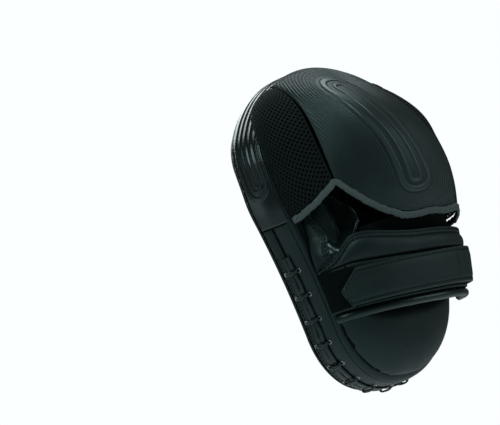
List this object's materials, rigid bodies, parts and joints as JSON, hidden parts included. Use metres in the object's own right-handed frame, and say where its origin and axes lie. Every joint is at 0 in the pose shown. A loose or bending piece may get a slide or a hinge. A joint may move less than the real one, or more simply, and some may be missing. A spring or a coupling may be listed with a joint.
{
  "type": "focus mitt",
  "caption": "Curved focus mitt for the right hand, with a laced padded strike face, ribbed finger hood, mesh sides, thumb stall and strapped wrist cuff.",
  "frame": {"origin": "centre of the palm on the pad's back face, where the hand sits", "axes": "+Z to the fingertips, +Y out of the strike face, +X to the little-finger side"},
  "size_m": [0.1908, 0.1048, 0.2563],
  "materials": {
    "strike_leather": "satin grained",
    "side_leather": "satin grained",
    "gloss_leather": "glossy coated",
    "tail_leather": "matt grained",
    "cuff_leather": "matt grained",
    "shiny_leather": "satin smooth",
    "hood_moulding": "satin moulded ribs",
    "lining": "matt knit",
    "mesh": "matt open mesh",
    "binding": "matt woven",
    "foam": "matt closed-cell",
    "gel": "satin",
    "board": "matt",
    "lace": "glossy flat lace",
    "eyelet": "brushed",
    "loop_pile": "fuzzy pile",
    "hook_tape": "matt hooks",
    "elastic": "matt ribbed"
  },
  "bodies": {
    "mitt": {"strike_target_panel": "strike_leather", "strike_ring_panel": "strike_leather", "front_foam": "foam", "gel_core": "gel", "stiffener_board": "board", "rear_foam": "foam", "pad_back_panel": "side_leather", "upper_edge_band": "gloss_leather", "lower_front_gusset": "side_leather", "lower_back_gusset": "side_leather", "lace_strip": "lace", "lace_wraps": "lace", "eyelets": "eyelet", "tail_cover": "tail_leather", "tail_foam": "foam", "palm_ball": "tail_leather", "hood_centre_panel": "hood_moulding", "hood_liner": "lining", "hood_mesh_left": "mesh", "hood_mesh_right": "mesh", "hood_binding": "binding", "thumb_stall": "shiny_leather", "hand_back_mesh": "mesh", "side_gusset_left": "side_leather", "side_gusset_right": "side_leather", "cuff_lining": "lining", "cuff_foam": "foam", "cuff_upper_panel": "cuff_leather", "cuff_lower_panel": "cuff_leather", "cuff_rim_roll": "shiny_leather", "cuff_loop_patch": "loop_pile", "strap_anchor": "cuff_leather", "strap_elastic": "elastic"},
    "strap_run": {"strap_run": "cuff_leather", "strap_run_hook": "hook_tape"},
    "strap_tip": {"strap_tip": "cuff_leather", "strap_tip_hook": "hook_tape"}
  },
  "joints": [
    {"name": "strap_peel", "type": "hinge", "parent": "mitt", "child": "strap_run", "pos_m": [0.07347, -0.02321, -0.0505], "axis": [0.1223, -0.0873, 0.9886], "range_deg": [0, 120]},
    {"name": "strap_flex", "type": "hinge", "parent": "strap_run", "child": "strap_tip", "pos_m": [-0.01675, -0.0418, -0.05134], "axis": [-0.031, -0.0814, 0.9962], "range_deg": [0, 60]}
  ]
}
